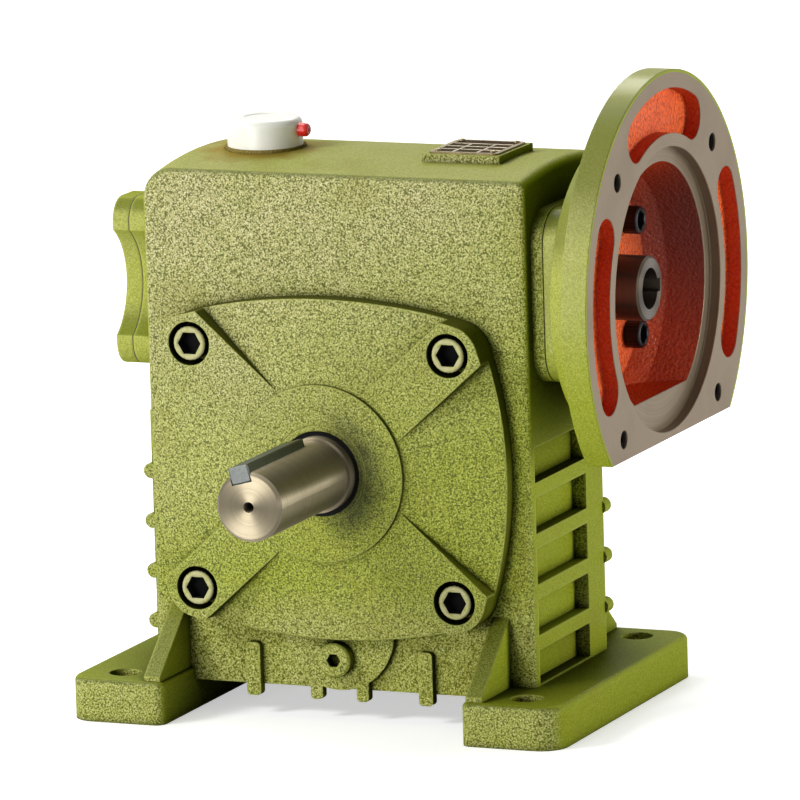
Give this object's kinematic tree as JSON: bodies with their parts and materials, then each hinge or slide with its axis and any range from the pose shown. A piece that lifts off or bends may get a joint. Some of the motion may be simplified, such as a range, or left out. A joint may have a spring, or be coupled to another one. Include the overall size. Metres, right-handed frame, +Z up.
{
  "type": "worm gear reducer",
  "caption": "Foot-mounted worm gear reducer: ribbed cast case, keyed output shaft in front, round motor flange with hollow keyed input at the side.",
  "frame": {"origin": "middle of the foot hole pattern on the plane the feet stand on", "axes": "+Z up, +X along the worm towards the motor, -Y along the output shaft towards its free end"},
  "size_m": [0.269, 0.244, 0.298],
  "materials": {
    "case_paint": "hammered olive green paint on cast iron",
    "flange_paint": "green paint outside, red paint inside, machined face",
    "ground_steel": "turned and ground",
    "black_steel": "blackened",
    "wheel_iron": "machined cast iron",
    "wheel_bronze": "machined bronze",
    "bearing_steel": "ground",
    "seal_rubber": "moulded",
    "gasket_sheet": "fibre sheet",
    "cap_plastic": "moulded",
    "vent_plastic": "moulded",
    "plate_metal": "bare plate"
  },
  "bodies": {
    "housing": {"blind_bearing_cup": "bearing_steel", "drain_plug": "black_steel", "filler_cap": "cap_plastic", "front_bearing_cup": "bearing_steel", "gear_case": "case_paint", "input_bearing_cup": "bearing_steel", "input_shaft_seal": "seal_rubber", "motor_flange": "flange_paint", "motor_flange_gasket": "gasket_sheet", "motor_flange_screws": "black_steel", "nameplate": "plate_metal", "nameplate_rivets": "plate_metal", "output_cover": "case_paint", "output_cover_gasket": "gasket_sheet", "output_cover_screws": "black_steel", "output_shaft_seal": "seal_rubber", "rear_bearing_cup": "bearing_steel", "rear_cover": "case_paint", "rear_cover_gasket": "gasket_sheet", "rear_cover_screws": "black_steel", "vent_plug": "vent_plastic", "worm_end_cover": "case_paint", "worm_end_gasket": "gasket_sheet", "worm_end_screws": "black_steel"},
    "output": {"output_shaft": "ground_steel", "output_key": "ground_steel", "wheel_key": "ground_steel", "spacer_sleeve": "ground_steel", "wheel_hub": "wheel_iron", "wheel_rim": "wheel_bronze", "wheel_rim_screws": "black_steel", "front_bearing_cone": "bearing_steel", "rear_bearing_cone": "bearing_steel"},
    "worm": {"worm_shaft": "ground_steel", "input_bearing_cone": "bearing_steel", "blind_bearing_cone": "bearing_steel"},
    "front_roller_set": {"front_bearing_rollers": "bearing_steel"},
    "rear_roller_set": {"rear_bearing_rollers": "bearing_steel"},
    "input_roller_set": {"input_bearing_rollers": "bearing_steel"},
    "blind_roller_set": {"blind_bearing_rollers": "bearing_steel"}
  },
  "joints": [
    {"name": "output_spin", "type": "hinge", "parent": "housing", "child": "output", "pos_m": [0, 0, 0.118], "axis": [0, 1, 0], "continuous": true},
    {"name": "worm_spin", "type": "hinge", "parent": "housing", "child": "worm", "pos_m": [0, 0, 0.198], "axis": [1, 0, 0], "continuous": true},
    {"name": "front_rollers_spin", "type": "hinge", "parent": "housing", "child": "front_roller_set", "pos_m": [0, 0, 0.118], "axis": [0, 1, 0], "continuous": true},
    {"name": "rear_rollers_spin", "type": "hinge", "parent": "housing", "child": "rear_roller_set", "pos_m": [0, 0, 0.118], "axis": [0, 1, 0], "continuous": true},
    {"name": "input_rollers_spin", "type": "hinge", "parent": "housing", "child": "input_roller_set", "pos_m": [0, 0, 0.198], "axis": [1, 0, 0], "continuous": true},
    {"name": "blind_rollers_spin", "type": "hinge", "parent": "housing", "child": "blind_roller_set", "pos_m": [0, 0, 0.198], "axis": [1, 0, 0], "continuous": true}
  ],
  "couplings": [
    {"joint": "worm_spin", "follows": "output_spin", "ratio": -20},
    {"joint": "front_rollers_spin", "follows": "output_spin", "ratio": 0.4286},
    {"joint": "rear_rollers_spin", "follows": "output_spin", "ratio": 0.4286},
    {"joint": "input_rollers_spin", "follows": "output_spin", "ratio": -8.51},
    {"joint": "blind_rollers_spin", "follows": "output_spin", "ratio": -8.498}
  ]
}
